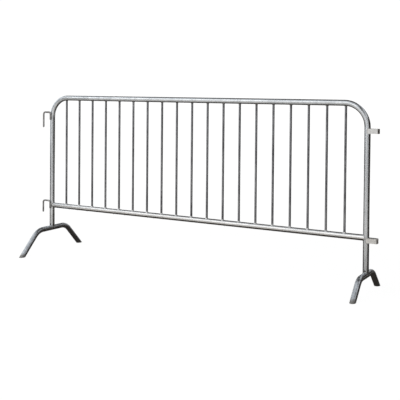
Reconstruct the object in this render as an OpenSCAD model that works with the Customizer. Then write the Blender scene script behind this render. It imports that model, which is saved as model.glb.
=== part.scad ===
// Crowd control barrier: a hot-dip galvanised steel tube panel on two bridge feet.
// Millimetres. +X runs along the panel from the hook end to the loop end, +Y to its
// back and +Z up. The origin is on the ground, midway between the two posts.

/* [Panel] */
// Distance between the two post axes
post_spacing = 2300; // [1800:10:2600]
// Overall height above the ground
panel_height = 1100; // [1090:5:1200]
// Outside diameter of the frame, bottom rail and foot tubes
tube_od = 35; // [33:0.5:38]
// Wall thickness of those tubes
tube_wall = 1.6; // [1.2:0.1:2.0]
// Centreline radius of the two top corners
corner_radius = 136; // [110:1:150]
// Height of the bottom rail's axis
bottom_rail_height = 319; // [280:1:400]

/* [Infill bars] */
// Number of upright bars
bar_count = 19; // [13:1:21]
// Outside diameter of a bar
bar_od = 14; // [10:0.5:16]
// Wall thickness of a bar
bar_wall = 1.5; // [1:0.1:2]
// Distance from each post axis to the first bar's axis
bar_end_gap = 128.5; // [115:0.5:160]

/* [Hooks] */
// Diameter of the hook rod
hook_rod = 12; // [10:0.5:14]
// Distance from the welded leg's axis to the hanging leg's axis
hook_reach = 62; // [50:1:80]
// Centreline radius of the hook's bends
hook_bend = 14; // [10:1:20]
// Length of the welded leg below the arm's axis
hook_weld_leg = 53; // [40:1:70]
// Height of the upper hook's arm
upper_hook_height = 980; // [900:1:985]
// Length of the upper hook's hanging leg below the arm's axis
upper_hook_drop = 104; // [70:1:130]
// Height of the lower hook's arm
lower_hook_height = 352; // [330:1:420]
// Length of the lower hook's hanging leg below the arm's axis
lower_hook_drop = 82; // [60:1:110]

/* [Loops] */
// Height of the strap that the loops are bent from
loop_strap_height = 28; // [20:1:40]
// Thickness of the strap
loop_strap = 5; // [4:0.5:6]
// Width across the outside of a loop
loop_width = 37; // [36:0.5:46]
// Outer corner radius of a loop
loop_corner = 9; // [7:0.5:12]
// Distance from the post axis to the loop's outer end
loop_reach = 68; // [55:1:85]
// Height of the upper loop's middle
upper_loop_height = 925; // [850:1:940]
// Height of the lower loop's middle
lower_loop_height = 306; // [280:1:340]

/* [Feet] */
// Height of the left foot's bridge axis
left_foot_height = 158; // [145:1:170]
// Distance from the panel to the left foot's tips, at the ground
left_foot_reach = 307; // [295:1:340]
// Centreline radius of the left foot's bends
left_foot_bend = 118; // [100:1:125]
// Height of the right foot's bridge axis
right_foot_height = 106; // [95:1:120]
// Distance from the panel to the right foot's tips, at the ground
right_foot_reach = 222; // [210:1:260]
// Centreline radius of the right foot's bends
right_foot_bend = 86; // [75:1:90]

/* [Foot swivel] */
// How far a foot turns each way from its place across the panel
swivel_limit = 90; // [60:5:100]
// Radial clearance between spigot and post
swivel_clearance = 0.3; // [0.2:0.05:0.5]
// Wall thickness of the spigot
spigot_wall = 3; // [2.5:0.1:4]
// Length of spigot above the foot's bridge tube
spigot_length = 90; // [60:5:120]
// Thickness of the saddle collar where it is thinnest, over the bridge tube's crown
collar_crown = 1; // [0.8:0.1:3]
// Gap between the collar and the post
seam_gap = 0.3; // [0.3:0.1:0.6]
// Diameter of the retaining screw
screw_d = 9; // [6:0.5:10]
// Metal left between the screw hole and the end of the post
screw_margin = 2; // [1.5:0.5:6]

/* [Hidden] */
$fn = 64;
bar_numbers = [for (i = [1:bar_count]) str("infill_bar_", i < 10 ? "0" : "", i)];

galvanised = [0.67, 0.69, 0.71];
dull_zinc = [0.58, 0.60, 0.62];
dark_zinc = [0.46, 0.47, 0.48];
screw_black = [0.12, 0.12, 0.13];

tube_r = tube_od / 2;
tube_id = tube_od - 2 * tube_wall;
post_x = post_spacing / 2;
top_rail_height = panel_height - tube_r;
corner_height = top_rail_height - corner_radius;   // where a post starts to bend
corner_x = post_x - corner_radius;                 // where the top rail starts to bend
bar_id = bar_od - 2 * bar_wall;
bar_first_x = -post_x + bar_end_gap;
bar_pitch = (post_spacing - 2 * bar_end_gap) / (bar_count - 1);
hook_y = -(tube_r + hook_rod / 2);                 // the hooks are welded to the posts' front
left_crown = left_foot_height + tube_r;
right_crown = right_foot_height + tube_r;
post_lift = collar_crown + seam_gap;               // from a foot's crown to the post's end
screw_lift = post_lift + screw_margin + screw_d / 2;
leg_angle = 45;                                    // slope of the feet's legs, below the horizontal
spigot_r = tube_id / 2 - swivel_clearance;
screw_fit = 0.05;                                  // radial room round the screw
screw_recess = 0.8;                                // from the post's surface to the screw's end
screw_socket = 5;                                  // across the flats of the hexagon
socket_depth = 2;
screw_tip_r = spigot_r - spigot_wall + 0.3;        // the screw's tip stays inside the slot
slot_room = 0.5;                                   // above and below the screw
slot_half_angle = swivel_limit + asin((screw_d / 2) / screw_tip_r) + 1.5;
overlap = 1;                                       // how far a cutter runs past what it cuts
bend_swell = 0.02;                                 // a foot's bends are this much thicker, in and out
bend_lap = 1;                                      // its straight lengths run this far into them

// ---- shared shapes ----

// A tube's cross-section, or a rod's when inner is 0
module section(outer, inner) {
    difference() {
        circle(d = outer);
        if (inner > 0) circle(d = inner);
    }
}

// A straight tube or rod along +Z from the origin
module straight(length, outer, inner) {
    linear_extrude(height = length) section(outer, inner);
}

// A bend in the XZ plane round the origin, from angle start to start + turn above +X
module bend(radius, start, turn, outer, inner) {
    rotate([90, 0, 0]) rotate([0, 0, start])
        rotate_extrude(angle = turn, $fn = 96) translate([radius, 0]) section(outer, inner);
}

// The outside of the top rail, as a solid that bars are cut to fit
module top_rail_outside() {
    translate([-corner_x, 0, top_rail_height]) rotate([0, 90, 0])
        straight(2 * corner_x, tube_od, 0);
    for (side = [-1, 1])
        translate([side * corner_x, 0, corner_height])
            bend(corner_radius, side > 0 ? 0 : 90, 90, tube_od, 0);
}

module bottom_rail_outside() {
    translate([-post_x, 0, bottom_rail_height]) rotate([0, 90, 0])
        straight(post_spacing, tube_od, 0);
}

module post_outside(x, low, high) {
    translate([x, 0, low]) straight(high - low, tube_od, 0);
}

// ---- the panel ----

// One side of the outer frame: a post and its top corner. side is -1 or 1
module post_and_corner(side, foot_crown) {
    post_end = foot_crown + post_lift;
    difference() {
        translate([side * post_x, 0, post_end])
            straight(corner_height - post_end, tube_od, tube_id);
        translate([side * post_x, 0, foot_crown + screw_lift]) rotate([90, 0, 0])
            cylinder(h = tube_r + overlap, r = screw_d / 2 + screw_fit);
    }
    translate([side * corner_x, 0, corner_height])
        bend(corner_radius, side > 0 ? 0 : 90, 90, tube_od, tube_id);
}

// One tube bent into an upside-down U: both posts and the top rail
module outer_frame() {
    color(galvanised) {
        post_and_corner(-1, left_crown);
        post_and_corner(1, right_crown);
        translate([-corner_x, 0, top_rail_height]) rotate([0, 90, 0])
            straight(2 * corner_x, tube_od, tube_id);
    }
}

// Cut at each end to fit round a post
module bottom_rail() {
    color(galvanised) difference() {
        translate([-post_x, 0, bottom_rail_height]) rotate([0, 90, 0])
            straight(post_spacing, tube_od, tube_id);
        for (side = [-1, 1])
            post_outside(side * post_x, bottom_rail_height - tube_od, bottom_rail_height + tube_od);
    }
}

// Upright tube number i from the left, cut at both ends to fit the rails
module infill_bar(i) {
    color(dull_zinc) difference() {
        translate([bar_first_x + (i - 1) * bar_pitch, 0, bottom_rail_height])
            straight(top_rail_height - bottom_rail_height, bar_od, bar_id);
        top_rail_outside();
        bottom_rail_outside();
    }
}

// ---- the couplings ----

// A rod bent twice: a leg welded to the left post's front, an arm and a hanging leg
module hook(arm_height, drop) {
    inner_x = -post_x;
    outer_x = inner_x - hook_reach;
    bend_z = arm_height - hook_bend;
    translate([0, hook_y, 0]) {
        translate([inner_x, 0, arm_height - hook_weld_leg])
            straight(hook_weld_leg - hook_bend, hook_rod, 0);
        translate([inner_x - hook_bend, 0, bend_z]) bend(hook_bend, 0, 90, hook_rod, 0);
        translate([outer_x + hook_bend, 0, arm_height]) rotate([0, 90, 0])
            straight(hook_reach - 2 * hook_bend, hook_rod, 0);
        translate([outer_x + hook_bend, 0, bend_z]) bend(hook_bend, 90, 90, hook_rod, 0);
        translate([outer_x, 0, arm_height - drop])
            straight(drop - hook_bend, hook_rod, 0);
    }
}

module upper_hook() { color(dull_zinc) hook(upper_hook_height, upper_hook_drop); }

module lower_hook() { color(dull_zinc) hook(lower_hook_height, lower_hook_drop); }

// A U seen from above, open towards the post, with two round corners
module u_outline(reach, half_width, corner) {
    square_x = reach - corner;
    translate([0, -half_width]) square([square_x, 2 * half_width]);
    translate([0, -(half_width - corner)]) square([reach, 2 * (half_width - corner)]);
    for (s = [-1, 1]) translate([square_x, s * (half_width - corner)]) circle(r = corner);
}

// A flat strap bent into a U, on edge, its two legs welded to the right post's sides
module loop(middle_height) {
    low = middle_height - loop_strap_height / 2;
    difference() {
        translate([post_x, 0, low]) linear_extrude(height = loop_strap_height) difference() {
            u_outline(loop_reach, loop_width / 2, loop_corner);
            translate([-overlap, 0]) u_outline(loop_reach - loop_strap + overlap,
                loop_width / 2 - loop_strap, loop_corner - loop_strap);
            translate([-overlap, -loop_width]) square([overlap + 3, 2 * loop_width]);
        }
        post_outside(post_x, low - overlap, low + loop_strap_height + overlap);
    }
}

module upper_loop() { color(galvanised) loop(upper_loop_height); }

module lower_loop() { color(galvanised) loop(lower_loop_height); }

// ---- the feet ----

// One bend of a foot with its leg, in the XZ plane: the bend's centre is at the origin
module foot_bend_and_leg(radius, leg_length) {
    rotate([90, 0, 0]) rotate([0, 0, 90 - leg_angle]) {
        rotate_extrude(angle = leg_angle, $fn = 96) translate([radius, 0])
            section(tube_od + 2 * bend_swell, tube_id - 2 * bend_swell);
        translate([radius, bend_lap, 0]) rotate([90, 0, 0])
            straight(leg_length + bend_lap, tube_od, tube_id);
    }
}

// A tube bent into a bridge across the panel, cut flat where it stands on the ground
module foot_tube(height, reach, radius) {
    half_bridge = reach - height / tan(leg_angle) - radius * tan(leg_angle / 2);
    leg_top = height - radius * (1 - cos(leg_angle));
    leg_length = (leg_top + tube_od) / sin(leg_angle);
    rotate([0, 0, 90]) difference() {
        union() {
            translate([-half_bridge - bend_lap, 0, height]) rotate([0, 90, 0])
                straight(2 * (half_bridge + bend_lap), tube_od, tube_id);
            for (side = [0, 1]) mirror([side, 0, 0])
                translate([half_bridge, 0, height - radius]) foot_bend_and_leg(radius, leg_length);
        }
        translate([-2 * reach, -tube_od, -4 * tube_od])
            cube([4 * reach, 2 * tube_od, 4 * tube_od]);
    }
}

// The outside of a foot's bridge tube, as a solid that what stands on it is cut to fit
module bridge_outside(height) {
    translate([0, tube_od, height]) rotate([90, 0, 0]) straight(2 * tube_od, tube_od, 0);
}

// A short saddle that carries the post's end
module foot_collar(height) {
    difference() {
        translate([0, 0, height])
            straight(tube_r + collar_crown, tube_od, 2 * (spigot_r + 0.2));
        bridge_outside(height);
    }
}

// A stub tube that the post turns on, with a slot that the retaining screw runs in
module foot_spigot(height) {
    crown = height + tube_r;
    slot_height = screw_d + 2 * slot_room;
    difference() {
        translate([0, 0, height])
            straight(tube_r + spigot_length, 2 * spigot_r, 2 * (spigot_r - spigot_wall));
        bridge_outside(height);
        translate([0, 0, crown + screw_lift - slot_height / 2])
            rotate([0, 0, -90 - slot_half_angle])
                rotate_extrude(angle = 2 * slot_half_angle)
                    translate([spigot_r - spigot_wall - overlap, 0])
                        square([spigot_wall + 2 * overlap, slot_height]);
    }
}

// A headless screw in the post's front wall, pointing at the post's axis
module retaining_screw(foot_crown) {
    length = tube_r - screw_recess - screw_tip_r;
    translate([0, -screw_tip_r, foot_crown + screw_lift]) rotate([90, 0, 0]) difference() {
        cylinder(h = length, r = screw_d / 2);
        translate([0, 0, length - socket_depth])
            cylinder(h = socket_depth + overlap, d = screw_socket / cos(30), $fn = 6);
    }
}

module left_retaining_screw() {
    color(screw_black) translate([-post_x, 0, 0]) retaining_screw(left_crown);
}

module right_retaining_screw() {
    color(screw_black) translate([post_x, 0, 0]) retaining_screw(right_crown);
}

module left_foot_tube() {
    color(galvanised) translate([-post_x, 0, 0])
        foot_tube(left_foot_height, left_foot_reach, left_foot_bend);
}

module left_foot_collar() {
    color(galvanised) translate([-post_x, 0, 0]) foot_collar(left_foot_height);
}

module left_foot_spigot() {
    color(dark_zinc) translate([-post_x, 0, 0]) foot_spigot(left_foot_height);
}

module right_foot_tube() {
    color(galvanised) translate([post_x, 0, 0])
        foot_tube(right_foot_height, right_foot_reach, right_foot_bend);
}

module right_foot_collar() {
    color(galvanised) translate([post_x, 0, 0]) foot_collar(right_foot_height);
}

module right_foot_spigot() {
    color(dark_zinc) translate([post_x, 0, 0]) foot_spigot(right_foot_height);
}

outer_frame();
bottom_rail();
for (i = [1:bar_count])
    infill_bar(i);
upper_hook();
lower_hook();
upper_loop();
lower_loop();
left_retaining_screw();
right_retaining_screw();
left_foot_tube();
left_foot_collar();
left_foot_spigot();
right_foot_tube();
right_foot_collar();
right_foot_spigot();
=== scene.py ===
"""Looks of the galvanised crowd control barrier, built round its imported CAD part.

Metres, in the part's own frame."""

import math
import random

import bpy
from mathutils import Matrix, Vector, noise


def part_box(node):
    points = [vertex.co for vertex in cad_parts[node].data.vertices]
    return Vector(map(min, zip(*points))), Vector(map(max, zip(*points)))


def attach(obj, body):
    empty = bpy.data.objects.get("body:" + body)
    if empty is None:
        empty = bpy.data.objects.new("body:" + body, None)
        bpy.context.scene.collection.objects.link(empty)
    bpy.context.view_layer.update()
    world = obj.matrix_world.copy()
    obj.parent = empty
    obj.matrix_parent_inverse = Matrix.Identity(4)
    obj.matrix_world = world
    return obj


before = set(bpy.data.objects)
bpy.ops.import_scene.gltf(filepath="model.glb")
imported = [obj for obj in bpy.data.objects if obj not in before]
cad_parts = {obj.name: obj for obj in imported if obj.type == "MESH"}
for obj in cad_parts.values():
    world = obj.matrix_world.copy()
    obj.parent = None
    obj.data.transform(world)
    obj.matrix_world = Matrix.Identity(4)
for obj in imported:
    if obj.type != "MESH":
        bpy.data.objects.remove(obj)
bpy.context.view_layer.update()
MM = 0.001
TAU = 2 * math.pi

# the camera: where it stands, how it turns (degrees) and its lens
CAMERA_AT = (2.5197, -4.2997, 1.1581)
YAW, PITCH, ROLL = 29.80, 1.219, 0.485
SENSOR_MM = 36
IMAGE_PX = 400
FOCAL_PX = 781.24
SHIFT_Y = -0.2375

# the white behind the part, and the weak light from everywhere
BACKDROP = 1.05
FILL, FILL_TINT = 0.035, (1.0, 0.84, 0.72)

# the floor's own glow, near the part and beyond it, and the distances where it changes
GLOW_NEAR, GLOW_FAR = 0.955, 1.03
GLOW_FROM, GLOW_TO = 1.5, 5

# welds and zinc: the radius of each kind of bead, and how finely they are cut
BEAD_R = {
    "rail": 2.4 * MM, "collar": 1.6 * MM, "screw_rim": 0.75 * MM,
    "hook": 2.5 * MM, "hook_tip": 1.9 * MM, "strap": 2.3 * MM, "strap_edge": 2.1 * MM,
}
RIPPLE_PITCH = 3.2 * MM
BEAD_SINK = 0.6 * MM
BEAD_SIDES = 10
FILLET_STEPS, JOINT_STEPS, RIM_STEPS = 40, 72, 40
DROP_RINGS, DROP_SIDES = 12, 14
RAIL_DROPS = 9
# how far a bar's fillet climbs and spreads, under the top tube and on the rail
TOP_FILLET = 4.5 * MM, 3.4 * MM
RAIL_FILLET = 6.0 * MM, 4.2 * MM
# how far the hook's bead runs down the post, and the screw hole's radius with its zinc
HOOK_WELD_LEG = 53 * MM
RIM_R = 5.3 * MM
SEED = 7

# ---- positions, all from the frame ----

BAR_NODES = sorted(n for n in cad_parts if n.startswith("infill_bar_"))


def middle(node):
    low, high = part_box(node)
    return (low + high) / 2


FRAME_LOW, FRAME_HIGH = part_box("outer_frame")
TUBE_R = (FRAME_HIGH.y - FRAME_LOW.y) / 2
LEFT_X = FRAME_LOW.x + TUBE_R
RIGHT_X = FRAME_HIGH.x - TUBE_R
TOP_Z = FRAME_HIGH.z - TUBE_R
RAIL_Z = middle("bottom_rail").z
BAR_X = [middle(n).x for n in BAR_NODES]
BAR_LOW, BAR_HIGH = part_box(BAR_NODES[9])
BAR_R = (BAR_HIGH.x - BAR_LOW.x) / 2
FEET = {
    side: dict(
        x=middle(f"{side}_foot_spigot").x,
        axis_z=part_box(f"{side}_foot_tube")[1].z - TUBE_R,
        collar_top=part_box(f"{side}_foot_collar")[1].z,
        screw=middle(f"{side}_retaining_screw"),
    )
    for side in ("left", "right")
}
HOOK_R = (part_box("upper_hook")[1].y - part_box("upper_hook")[0].y) / 2


# ---- camera, floor and light ----


def camera():
    """Stands front right of the panel, level with the top rail, as the photograph does."""
    data = bpy.data.cameras.new("camera")
    data.sensor_width = SENSOR_MM
    data.lens = FOCAL_PX * SENSOR_MM / IMAGE_PX
    data.shift_y = SHIFT_Y
    obj = bpy.data.objects.new("camera", data)
    bpy.context.scene.collection.objects.link(obj)
    yaw, pitch, roll = math.radians(YAW), math.radians(PITCH), math.radians(ROLL)
    turn = Matrix.Rotation(yaw, 4, "Z") @ Matrix.Rotation(math.pi / 2 - pitch, 4, "X")
    obj.matrix_world = Matrix.Translation(CAMERA_AT) @ turn @ Matrix.Rotation(roll, 4, "Z")
    bpy.context.scene.camera = obj


def softbox(name, place, target, width, height, radiance, tint=(1, 1, 1)):
    """A large soft area light of that radiance, which looks at target."""
    data = bpy.data.lights.new(name, "AREA")
    data.shape = "RECTANGLE"
    data.size, data.size_y = width, height
    data.energy = radiance * math.pi * width * height
    data.color = tint
    obj = bpy.data.objects.new(name, data)
    obj.visible_camera = False
    bpy.context.scene.collection.objects.link(obj)
    obj.location = place
    obj.rotation_euler = (Vector(target) - Vector(place)).to_track_quat("-Z", "Y").to_euler()


def around(azimuth, distance, height):
    """A point round the part: azimuth 0 is in front of it, 90 off its right end."""
    a = math.radians(azimuth)
    return (math.sin(a) * distance, -math.cos(a) * distance, height)


def bounce(name, x, y, width, height, radiance, tint):
    """A card of light that lies on the floor and faces up, for what a pale floor throws back."""
    outward = math.copysign(0.001, y)
    softbox(name, (x, y, 0.004), (x, y + outward, 1), width, height, radiance, tint)


def surroundings():
    """White to the camera, but dim and warm in the metal, whose far sides then stay dark."""
    world = bpy.data.worlds.new("studio")
    world.use_nodes = True
    nodes, links = world.node_tree.nodes, world.node_tree.links
    background = nodes["Background"]
    white = nodes.new("ShaderNodeBackground")
    white.inputs["Color"].default_value = (1, 1, 1, 1)
    white.inputs["Strength"].default_value = BACKDROP
    background.inputs["Color"].default_value = (*FILL_TINT, 1)
    background.inputs["Strength"].default_value = FILL
    path = nodes.new("ShaderNodeLightPath")
    mix = nodes.new("ShaderNodeMixShader")
    links.new(path.outputs["Is Camera Ray"], mix.inputs[0])
    links.new(background.outputs[0], mix.inputs[1])
    links.new(white.outputs[0], mix.inputs[2])
    links.new(mix.outputs[0], nodes["World Output"].inputs["Surface"])
    bpy.context.scene.world = world


def lighting():
    """Broad soft light from the front and left, little from the right and below."""
    bpy.context.scene.view_settings.view_transform = "Standard"
    surroundings()
    cool, warm, centre = (0.96, 0.98, 1), (1, 0.98, 0.95), (0, 0, 0.6)
    softbox("key_softbox", around(-20, 6.2, 4.2), centre, 7.5, 3.4, 1.5, (1, 0.99, 0.975))
    softbox("low_softbox", around(-12, 6.8, 1.35), centre, 9, 2.5, 0.9)
    softbox("left_softbox", around(-80, 6.2, 2.9), centre, 6, 5.6, 0.85, (0.93, 0.97, 1))
    softbox("right_softbox", around(46, 6.3, 2.2), centre, 5, 4.2, 0.56)
    softbox("high_right_softbox", around(88, 5.8, 4.9), centre, 4.5, 3, 0.75, cool)
    softbox("top_softbox", (-1.0, -2.2, 5.2), (-0.6, -0.6, 0), 8, 4, 0.62, (0.93, 0.97, 1))
    softbox("back_softbox", around(240, 6.5, 2.6), centre, 4.4, 4, 0.65, (0.94, 0.97, 1))
    softbox("far_softbox", around(185, 7, 2.6), centre, 5, 3.6, 0.5)
    softbox("high_back_softbox", around(142, 5.2, 5.4), centre, 4, 2.6, 0.9, cool)
    bounce("back_bounce", -0.3, 3.9, 7.5, 4.4, 0.5, (1, 0.97, 0.93))
    bounce("floor_bounce", 0.3, -3.3, 7.5, 4, 0.72, warm)
    bounce("near_bounce", 0.3, -0.82, 5, 0.92, 0.5, (1, 0.96, 0.9))


def floor():
    """Pale, and bright by itself, so that only soft contact shadows show on it."""
    bpy.ops.mesh.primitive_plane_add(size=60, location=(0, 0, -0.0005))
    obj = bpy.context.object
    obj.name = "floor"
    material = bpy.data.materials.new("floor")
    material.use_nodes = True
    shader = material.node_tree.nodes["Principled BSDF"]
    shader.inputs["Base Color"].default_value = (0.12, 0.12, 0.12, 1)
    shader.inputs["Roughness"].default_value = 1
    shader.inputs["Specular IOR Level"].default_value = 0
    shader.inputs["Emission Color"].default_value = (1, 1, 1, 1)
    nodes, links = material.node_tree.nodes, material.node_tree.links
    place = nodes.new("ShaderNodeTexCoord")
    away = nodes.new("ShaderNodeVectorMath")
    away.operation = "LENGTH"
    links.new(place.outputs["Object"], away.inputs[0])
    glow = nodes.new("ShaderNodeMapRange")
    glow.inputs["From Min"].default_value = GLOW_FROM
    glow.inputs["From Max"].default_value = GLOW_TO
    glow.inputs["To Min"].default_value = GLOW_NEAR
    glow.inputs["To Max"].default_value = GLOW_FAR
    links.new(away.outputs["Value"], glow.inputs["Value"])
    links.new(glow.outputs["Result"], shader.inputs["Emission Strength"])
    obj.data.materials.append(material)
    obj.visible_diffuse = obj.visible_glossy = False


# ---- materials ----


class Nodes:
    """A material's node tree, with short calls that make and link nodes."""

    def __init__(self, name):
        self.material = bpy.data.materials.new(name)
        self.material.use_nodes = True
        self.tree = self.material.node_tree
        self.shader = self.tree.nodes["Principled BSDF"]
        self.place = self.tree.nodes.new("ShaderNodeTexCoord").outputs["Object"]

    def link(self, source, socket):
        self.tree.links.new(source, socket)

    def stretched(self, scale):
        node = self.tree.nodes.new("ShaderNodeMapping")
        node.inputs["Scale"].default_value = scale
        self.link(self.place, node.inputs["Vector"])
        return node.outputs["Vector"]

    def noise(self, scale, detail=4, roughness=0.55, stretch=(1, 1, 1)):
        node = self.tree.nodes.new("ShaderNodeTexNoise")
        node.inputs["Scale"].default_value = scale
        node.inputs["Detail"].default_value = detail
        node.inputs["Roughness"].default_value = roughness
        self.link(self.stretched(stretch), node.inputs["Vector"])
        return node.outputs["Fac"]

    def cells(self, scale):
        node = self.tree.nodes.new("ShaderNodeTexVoronoi")
        node.inputs["Scale"].default_value = scale
        self.link(self.place, node.inputs["Vector"])
        return node.outputs["Color"]

    def grey(self, colour):
        node = self.tree.nodes.new("ShaderNodeRGBToBW")
        self.link(colour, node.inputs[0])
        return node.outputs[0]

    def ramp(self, value, *stops):
        """Colours or greys along a value: each stop is (position, colour)."""
        node = self.tree.nodes.new("ShaderNodeValToRGB")
        elements = node.color_ramp.elements
        while len(elements) < len(stops):
            elements.new(0.5)
        for element, (position, colour) in zip(elements, stops):
            element.position = position
            colour = colour if isinstance(colour, tuple) else (colour,) * 3
            element.color = (*colour, 1)
        self.link(value, node.inputs[0])
        return node.outputs["Color"]

    def math(self, kind, a, b):
        node = self.tree.nodes.new("ShaderNodeMath")
        node.operation = kind
        for socket, value in zip(node.inputs, (a, b)):
            if isinstance(value, (int, float)):
                socket.default_value = value
            else:
                self.link(value, socket)
        return node.outputs[0]

    def mix(self, factor, a, b):
        node = self.tree.nodes.new("ShaderNodeMix")
        node.data_type = "RGBA"
        for socket, value in ((0, factor), (6, a), (7, b)):
            if isinstance(value, (int, float)):
                node.inputs[socket].default_value = value
            elif isinstance(value, tuple):
                node.inputs[socket].default_value = (*value, 1)
            else:
                self.link(value, node.inputs[socket])
        return node.outputs[2]

    def height(self):
        node = self.tree.nodes.new("ShaderNodeSeparateXYZ")
        self.link(self.place, node.inputs[0])
        return node.outputs["Z"]

    def bump(self, value, distance, strength=1.0, before=None):
        node = self.tree.nodes.new("ShaderNodeBump")
        node.inputs["Distance"].default_value = distance
        node.inputs["Strength"].default_value = strength
        self.link(value, node.inputs["Height"])
        if before is not None:
            self.link(before, node.inputs["Normal"])
        return node.outputs["Normal"]

    def finish(self, colour, roughness, normal, metallic):
        self.link(colour, self.shader.inputs["Base Color"])
        self.link(roughness, self.shader.inputs["Roughness"])
        self.link(normal, self.shader.inputs["Normal"])
        self.shader.inputs["Metallic"].default_value = metallic
        return self.material


def zinc(name, light, dark, patchy=0.5, streak=(1, 1, 0.25), rough=(0.30, 0.46), underside_shade=None):
    """Weathered hot-dip zinc: spangle, clouds, streaks along the tube, dark specks, a lumpy skin.

    The last argument is (height, colour): painted shade that darkens the feet's lower sides towards the
    floor, below that height."""
    n = Nodes(name)
    spangle = n.grey(n.cells(95))
    coarse = n.noise(9, 5, 0.6, streak)
    cloud = n.noise(42, 4, 0.6, streak)
    patches = n.ramp(coarse, (0.36, 0.0), (0.64, 1.0))
    tone = n.mix(patchy, patches, n.ramp(cloud, (0.35, 0.0), (0.65, 1.0)))
    tone = n.mix(0.22, tone, n.ramp(spangle, (0.2, 0.0), (0.8, 1.0)))
    colour = n.mix(n.grey(tone), dark, light)
    specks = n.ramp(n.noise(310, 2, 0.5), (0.64, 0.0), (0.72, 1.0))
    colour = n.mix(n.math("MULTIPLY", n.grey(specks), 0.45), colour, tuple(0.45 * c for c in dark))
    stain = n.ramp(n.noise(16, 6, 0.7, (1, 1, 0.5)), (0.60, 0.0), (0.74, 1.0))
    colour = n.mix(n.math("MULTIPLY", n.grey(stain), 0.35), colour, (0.22, 0.19, 0.16))
    roughness = n.ramp(n.grey(tone), (0.0, rough[1]), (1.0, rough[0]))
    # painted shade: below the given height the colour turns darker and browner towards the floor, and
    # the skin rougher
    if underside_shade:
        top, shade_colour = underside_shade
        level = n.math("ADD", n.height(), n.math("MULTIPLY", n.noise(30, 4), -0.6 * top))
        shade_amount = n.ramp(n.math("DIVIDE", level, top), (0.0, 0.85), (0.8, 0.0))
        colour = n.mix(n.grey(shade_amount), colour, shade_colour)
        roughness = n.mix(n.grey(shade_amount), roughness, (0.75, 0.75, 0.75))
    skin = n.bump(n.noise(45, 3, 0.5, streak), 0.0007, 0.4)
    skin = n.bump(n.noise(200, 2, 0.5), 0.00012, 0.5, skin)
    return n.finish(colour, roughness, skin, 1.0)


def weld_zinc(name, light, dark):
    """Zinc over a weld: brighter and lumpier, with dark pits between the ripples."""
    n = Nodes(name)
    tone = n.noise(120, 4, 0.65)
    between = tuple((a + b) / 2 for a, b in zip(light, dark))
    colour = n.ramp(tone, (0.30, dark), (0.5, between), (0.68, light))
    roughness = n.ramp(tone, (0.3, 0.55), (0.7, 0.34))
    skin = n.bump(n.noise(260, 4, 0.6), 0.0008, 0.8)
    return n.finish(colour, roughness, skin, 0.9)


def plated(name):
    """Grey zinc plate, rubbed in rings where the post turns on it."""
    n = Nodes(name)
    rings = n.noise(60, 3, 0.5, (0.3, 0.3, 14))
    colour = n.ramp(rings, (0.35, (0.20, 0.20, 0.21)), (0.6, (0.46, 0.47, 0.49)))
    grease = n.ramp(n.noise(24, 4, 0.6), (0.52, 0.0), (0.66, 1.0))
    colour = n.mix(n.math("MULTIPLY", n.grey(grease), 0.6), colour, (0.07, 0.06, 0.05))
    roughness = n.ramp(rings, (0.3, 0.48), (0.7, 0.25))
    skin = n.bump(rings, 0.0003, 0.6)
    return n.finish(colour, roughness, skin, 0.95)


def blackened(name):
    """A black oxide screw with dull dust in its socket and bright rubbed edges."""
    n = Nodes(name)
    tone = n.noise(400, 4, 0.6)
    colour = n.ramp(tone, (0.35, (0.008, 0.008, 0.009)), (0.75, (0.035, 0.032, 0.030)))
    roughness = n.ramp(tone, (0.3, 0.45), (0.7, 0.7))
    skin = n.bump(tone, 0.0002, 0.5)
    return n.finish(colour, roughness, skin, 0.6)


def paint(node, material):
    """Gives a CAD node that material in every slot."""
    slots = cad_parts[node].data.materials
    if not len(slots):
        slots.append(material)
    for i in range(len(slots)):
        slots[i] = material


def materials():
    made = {
        "frame": zinc(
            "galvanised_frame", (0.80, 0.83, 0.86), (0.55, 0.58, 0.61),
            rough=(0.18, 0.32),
        ),
        "rail": zinc(
            "galvanised_rail", (0.88, 0.88, 0.88), (0.64, 0.65, 0.66),
            streak=(0.25, 1, 1), rough=(0.16, 0.30),
        ),
        "bars": zinc(
            "galvanised_bars", (0.42, 0.43, 0.45), (0.09, 0.09, 0.10),
            0.35, (1, 1, 0.45), (0.28, 0.46),
        ),
        "hooks": zinc(
            "galvanised_hooks", (0.56, 0.56, 0.56), (0.26, 0.25, 0.24),
            0.6, (1, 1, 1), (0.4, 0.55),
        ),
        "loops": zinc(
            "galvanised_loops", (0.89, 0.89, 0.88), (0.64, 0.64, 0.63),
            0.5, (0.4, 1, 1), (0.2, 0.34),
        ),
        "feet": zinc(
            "galvanised_feet", (0.80, 0.84, 0.88), (0.48, 0.50, 0.53),
            # the last entry is painted shade: the feet's lower 25 mm darken towards the floor
            0.5, (1, 1, 1), (0.26, 0.40), (0.025, (0.38, 0.36, 0.34)),
        ),
        "bright_weld": weld_zinc("bright_weld", (0.86, 0.86, 0.85), (0.42, 0.42, 0.42)),
        # a darker copy of the weld zinc: painted shade for the welds under the top tube
        "painted_shade_weld": weld_zinc("painted_shade_weld", (0.42, 0.41, 0.40), (0.10, 0.10, 0.10)),
        "grey_weld": weld_zinc("grey_weld", (0.72, 0.72, 0.71), (0.30, 0.30, 0.30)),
        "spigot": plated("plated_spigot"),
        "screw": blackened("black_screw"),
    }
    paint("outer_frame", made["frame"])
    paint("bottom_rail", made["rail"])
    for node in BAR_NODES:
        paint(node, made["bars"])
    for end in ("upper", "lower"):
        paint(f"{end}_hook", made["hooks"])
        paint(f"{end}_loop", made["loops"])
    for side in FEET:
        paint(f"{side}_foot_tube", made["feet"])
        paint(f"{side}_foot_collar", made["feet"])
        paint(f"{side}_foot_spigot", made["spigot"])
        paint(f"{side}_retaining_screw", made["screw"])
    return made


# ---- pieces ----


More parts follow.
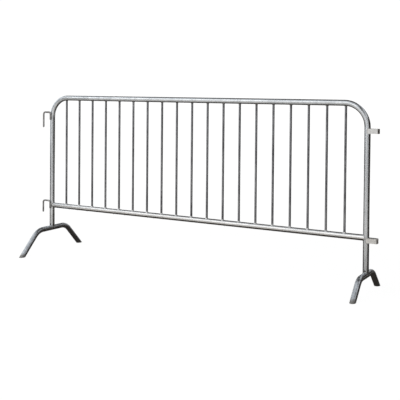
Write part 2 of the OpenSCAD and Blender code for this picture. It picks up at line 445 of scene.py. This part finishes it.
def piece(name, parts, material, body):
    """One smooth object from (vertices, faces) parts, riding on a body."""
    vertices, faces = [], []
    for vs, fs in parts:
        faces += [tuple(i + len(vertices) for i in f) for f in fs]
        vertices += vs
    mesh = bpy.data.meshes.new(name)
    mesh.from_pydata([tuple(v) for v in vertices], [], faces)
    mesh.validate()
    mesh.materials.append(material)
    mesh.polygons.foreach_set("use_smooth", [True] * len(mesh.polygons))
    obj = bpy.data.objects.new(name, mesh)
    bpy.context.scene.collection.objects.link(obj)
    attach(obj, body)


def lofted(rings, closed):
    """Quads between rings of points, all the same length. An open run gets a cap at both ends."""
    size = len(rings[0])
    vertices = [p for ring in rings for p in ring]
    faces = []
    for i in range(len(rings) if closed else len(rings) - 1):
        a, b = i * size, (i + 1) % len(rings) * size
        for j in range(size):
            k = (j + 1) % size
            faces.append((a + j, a + k, b + k, b + j))
    if not closed:
        faces.append(tuple(range(size - 1, -1, -1)))
        faces.append(tuple(range(len(vertices) - size, len(vertices))))
    return vertices, faces


def bead(points, radius, closed, rng, ripple=0.22):
    """A weld bead along points: a round section that swells with each ripple and wanders a little.

    A bead that isn't closed tapers at its ends."""
    rings, travelled, count = [], 0.0, len(points)
    phase, seed = rng.random() * TAU, rng.random() * 50
    for i, p in enumerate(points):
        before = points[i - 1] if closed or i else p
        after = points[(i + 1) % count] if closed or i < count - 1 else p
        along = (after - before).normalized()
        travelled += (p - before).length if i else 0
        side = along.orthogonal() if i == 0 else side - along * side.dot(along)
        side = side.normalized()
        up = along.cross(side)
        crest = abs(math.sin(math.pi * travelled / RIPPLE_PITCH + phase)) ** 0.7
        swell = 1 + ripple * crest - ripple / 2
        swell += 0.25 * noise.noise(p / (6 * MM) + Vector((seed, 0, 0)))
        if not closed:
            edge = min(i, count - 1 - i) / max(1, count * 0.12)
            swell *= min(1, 0.35 + 0.65 * edge ** 0.5)
        rings.append([
            p + (side * math.cos(a) + up * math.sin(a)) * radius * swell
            for a in [TAU * j / BEAD_SIDES for j in range(BEAD_SIDES)]
        ])
    return lofted(rings, closed)


def bar_fillet(x, rail_z, up, rng, rise, spread):
    """The weld and zinc round a bar's end: it leans from the bar's side out onto the rail.

    up is 1 for a bar that stands on the rail, -1 for one that hangs from it."""
    rings = []
    phase, seed = rng.random() * TAU, rng.random() * 50
    profile = [(0.0, 1.0), (0.10, 0.62), (0.30, 0.33), (0.62, 0.13), (1.0, 0.0)]
    for i in range(FILLET_STEPS):
        a = TAU * i / FILLET_STEPS
        out = Vector((math.cos(a), math.sin(a), 0))
        wave = 1 + 0.13 * abs(math.sin(5 * a + phase))
        wave += 0.30 * noise.noise(out * 1.3 + Vector((seed, 0, 0)))
        lifts = [(reach, rise * height * wave) for reach, height in profile]
        lifts += [(1.0, -0.7 * MM), (-0.25, -0.7 * MM)]
        ring = []
        for reach, lift in lifts:
            r = BAR_R + spread * reach * wave
            saddle = math.sqrt(max(TUBE_R ** 2 - (r * out.y) ** 2, 0))
            ring.append(Vector((x, 0, rail_z + up * (saddle + lift))) + out * r)
        rings.append(ring)
    return lofted(rings, True)


def cross_weld(x, z, axis, toward, radius, rng):
    """A bead round the joint of two tubes of one size that cross at (x, 0, z).

    axis is the way the ended tube runs (a unit vector) and toward the other tube's axis."""
    axis, toward = Vector(axis), Vector(toward)
    across = axis.cross(toward)
    points = []
    for i in range(JOINT_STEPS):
        a = TAU * (i + 0.5) / JOINT_STEPS
        normal = toward * math.sin(a) + across * math.cos(a)
        reach = TUBE_R * abs(math.sin(a))
        on_post = (axis * reach + across * TUBE_R * math.cos(a)).normalized()
        lean = (normal + on_post).normalized()
        joint = Vector((x, 0, z)) + normal * TUBE_R + axis * reach
        points.append(joint + lean * (radius - BEAD_SINK) * 0.35)
    return bead(points, radius, True, rng)


def straight_run(start, end, steps):
    return [start.lerp(end, i / (steps - 1)) for i in range(steps)]


def bar_welds(made, rng):
    top = [bar_fillet(x, TOP_Z, -1, rng, *TOP_FILLET) for x in BAR_X]
    low = [bar_fillet(x, RAIL_Z, 1, rng, *RAIL_FILLET) for x in BAR_X]
    # painted shade: the welds under the top tube take the darker copy of the weld zinc
    piece("bar_top_welds", top, made["painted_shade_weld"], "frame")
    piece("bar_bottom_welds", low, made["bright_weld"], "frame")


def rail_welds(made, rng):
    parts = [
        cross_weld(LEFT_X, RAIL_Z, (1, 0, 0), (0, 0, 1), BEAD_R["rail"], rng),
        cross_weld(RIGHT_X, RAIL_Z, (-1, 0, 0), (0, 0, 1), BEAD_R["rail"], rng),
    ]
    piece("rail_end_welds", parts, made["bright_weld"], "frame")


def hook_welds(made, rng):
    """Beads in the two grooves between each hook's welded leg and the post, with one under its end."""
    parts = []
    for end in ("upper", "lower"):
        low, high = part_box(f"{end}_hook")
        axis_y = (low.y + high.y) / 2
        leg_x = high.x - HOOK_R
        arm_z = high.z - HOOK_R
        leg_low = arm_z - HOOK_WELD_LEG
        for s in (-1, 1):
            start = Vector((leg_x + s * 5.4 * MM, axis_y + 4.2 * MM, leg_low + 1.5 * MM))
            finish = Vector((start.x, start.y, arm_z - 16 * MM))
            parts.append(bead(straight_run(start, finish, 40), BEAD_R["hook"], False, rng))
        tip = [
            Vector((leg_x + 5.2 * MM * math.sin(a), axis_y + 4.0 * MM - 1.2 * MM * math.cos(a), leg_low))
            for a in [math.pi * (i / 16 - 0.5) for i in range(17)]
        ]
        parts.append(bead(tip, BEAD_R["hook_tip"], False, rng))
    piece("hook_welds", parts, made["grey_weld"], "frame")


def loop_welds(made, rng):
    """Beads up the ends of each strap on the post, and along its top and bottom edges."""
    parts = []
    for end in ("upper", "lower"):
        low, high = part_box(f"{end}_loop")
        for s in (-1, 1):
            y = s * (high.y - 1.2 * MM)
            x = low.x - 0.6 * MM
            run = straight_run(Vector((x, y, low.z + MM)), Vector((x, y, high.z - MM)), 34)
            parts.append(bead(run, BEAD_R["strap"], False, rng))
            for z in (low.z, high.z):
                start = Vector((low.x, s * (TUBE_R - 0.6 * MM), z))
                finish = Vector((RIGHT_X + 11.5 * MM, s * 14.6 * MM, z))
                parts.append(bead(straight_run(start, finish, 20), BEAD_R["strap_edge"], False, rng))
    piece("loop_welds", parts, made["bright_weld"], "frame")


def collar_welds(made, rng):
    """The bead that joins each saddle collar to its bridge tube.

    It is ground flat under the post's end, so that the foot turns."""
    for side, foot in FEET.items():
        vertices, faces = cross_weld(
            foot["x"], foot["axis_z"], (0, 0, 1), (0, 1, 0), BEAD_R["collar"], rng,
        )
        limit = foot["collar_top"] - 0.1 * MM
        flat = [Vector((v.x, v.y, min(v.z, limit))) for v in vertices]
        name, body = f"{side}_collar_weld", f"{side}_foot"
        piece(name, [(flat, faces)], made["bright_weld"], body)


def screw_rims(made, rng):
    """A thin raised rim of zinc round each screw hole, following the post's side."""
    for side, foot in FEET.items():
        centre = foot["screw"]
        points = []
        for i in range(RIM_STEPS):
            a = TAU * i / RIM_STEPS
            dx, dz = RIM_R * math.cos(a), RIM_R * math.sin(a)
            y = -math.sqrt(TUBE_R ** 2 - dx ** 2)
            points.append(Vector((foot["x"] + dx, y, centre.z + dz)))
        rim = bead(points, BEAD_R["screw_rim"], True, rng, 0.1)
        piece(f"{side}_screw_rim", [rim], made["bright_weld"], "frame")


def drop(place, radius, length):
    """A hanging drop of zinc: round below and drawn up into a neck."""
    rings = []
    for i in range(DROP_RINGS):
        t = i / (DROP_RINGS - 1)
        r = radius * math.sin(math.pi * (0.04 + 0.90 * t ** 0.75)) ** 0.8
        z = -length * (t - 0.35)
        rings.append([
            place + Vector((r * math.cos(a), r * math.sin(a), z))
            for a in [TAU * j / DROP_SIDES for j in range(DROP_SIDES)]
        ])
    return lofted(rings, False)


def zinc_drops(made, rng):
    """Drops of zinc where it ran off: the hooks' tips, and a few small ones under the rails."""
    parts = []
    for end, size in (("upper", 4.6), ("lower", 3.4)):
        low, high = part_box(f"{end}_hook")
        tip = Vector((low.x + HOOK_R, (low.y + high.y) / 2, low.z))
        blob = tip + Vector((-0.6 * MM, -0.5 * MM, 0.4 * MM))
        parts.append(drop(blob, size * MM, 1.7 * size * MM))
    for _ in range(RAIL_DROPS):
        x = rng.uniform(LEFT_X + 0.1, RIGHT_X - 0.1)
        parts.append(drop(Vector((x, 0, RAIL_Z - TUBE_R)), rng.uniform(1.5, 2.6) * MM, 5 * MM))
    piece("zinc_drops", parts, made["bright_weld"], "frame")


camera()
lighting()
floor()
MADE = materials()
RNG = random.Random(SEED)
bar_welds(MADE, RNG)
rail_welds(MADE, RNG)
hook_welds(MADE, RNG)
loop_welds(MADE, RNG)
collar_welds(MADE, RNG)
screw_rims(MADE, RNG)
zinc_drops(MADE, RNG)
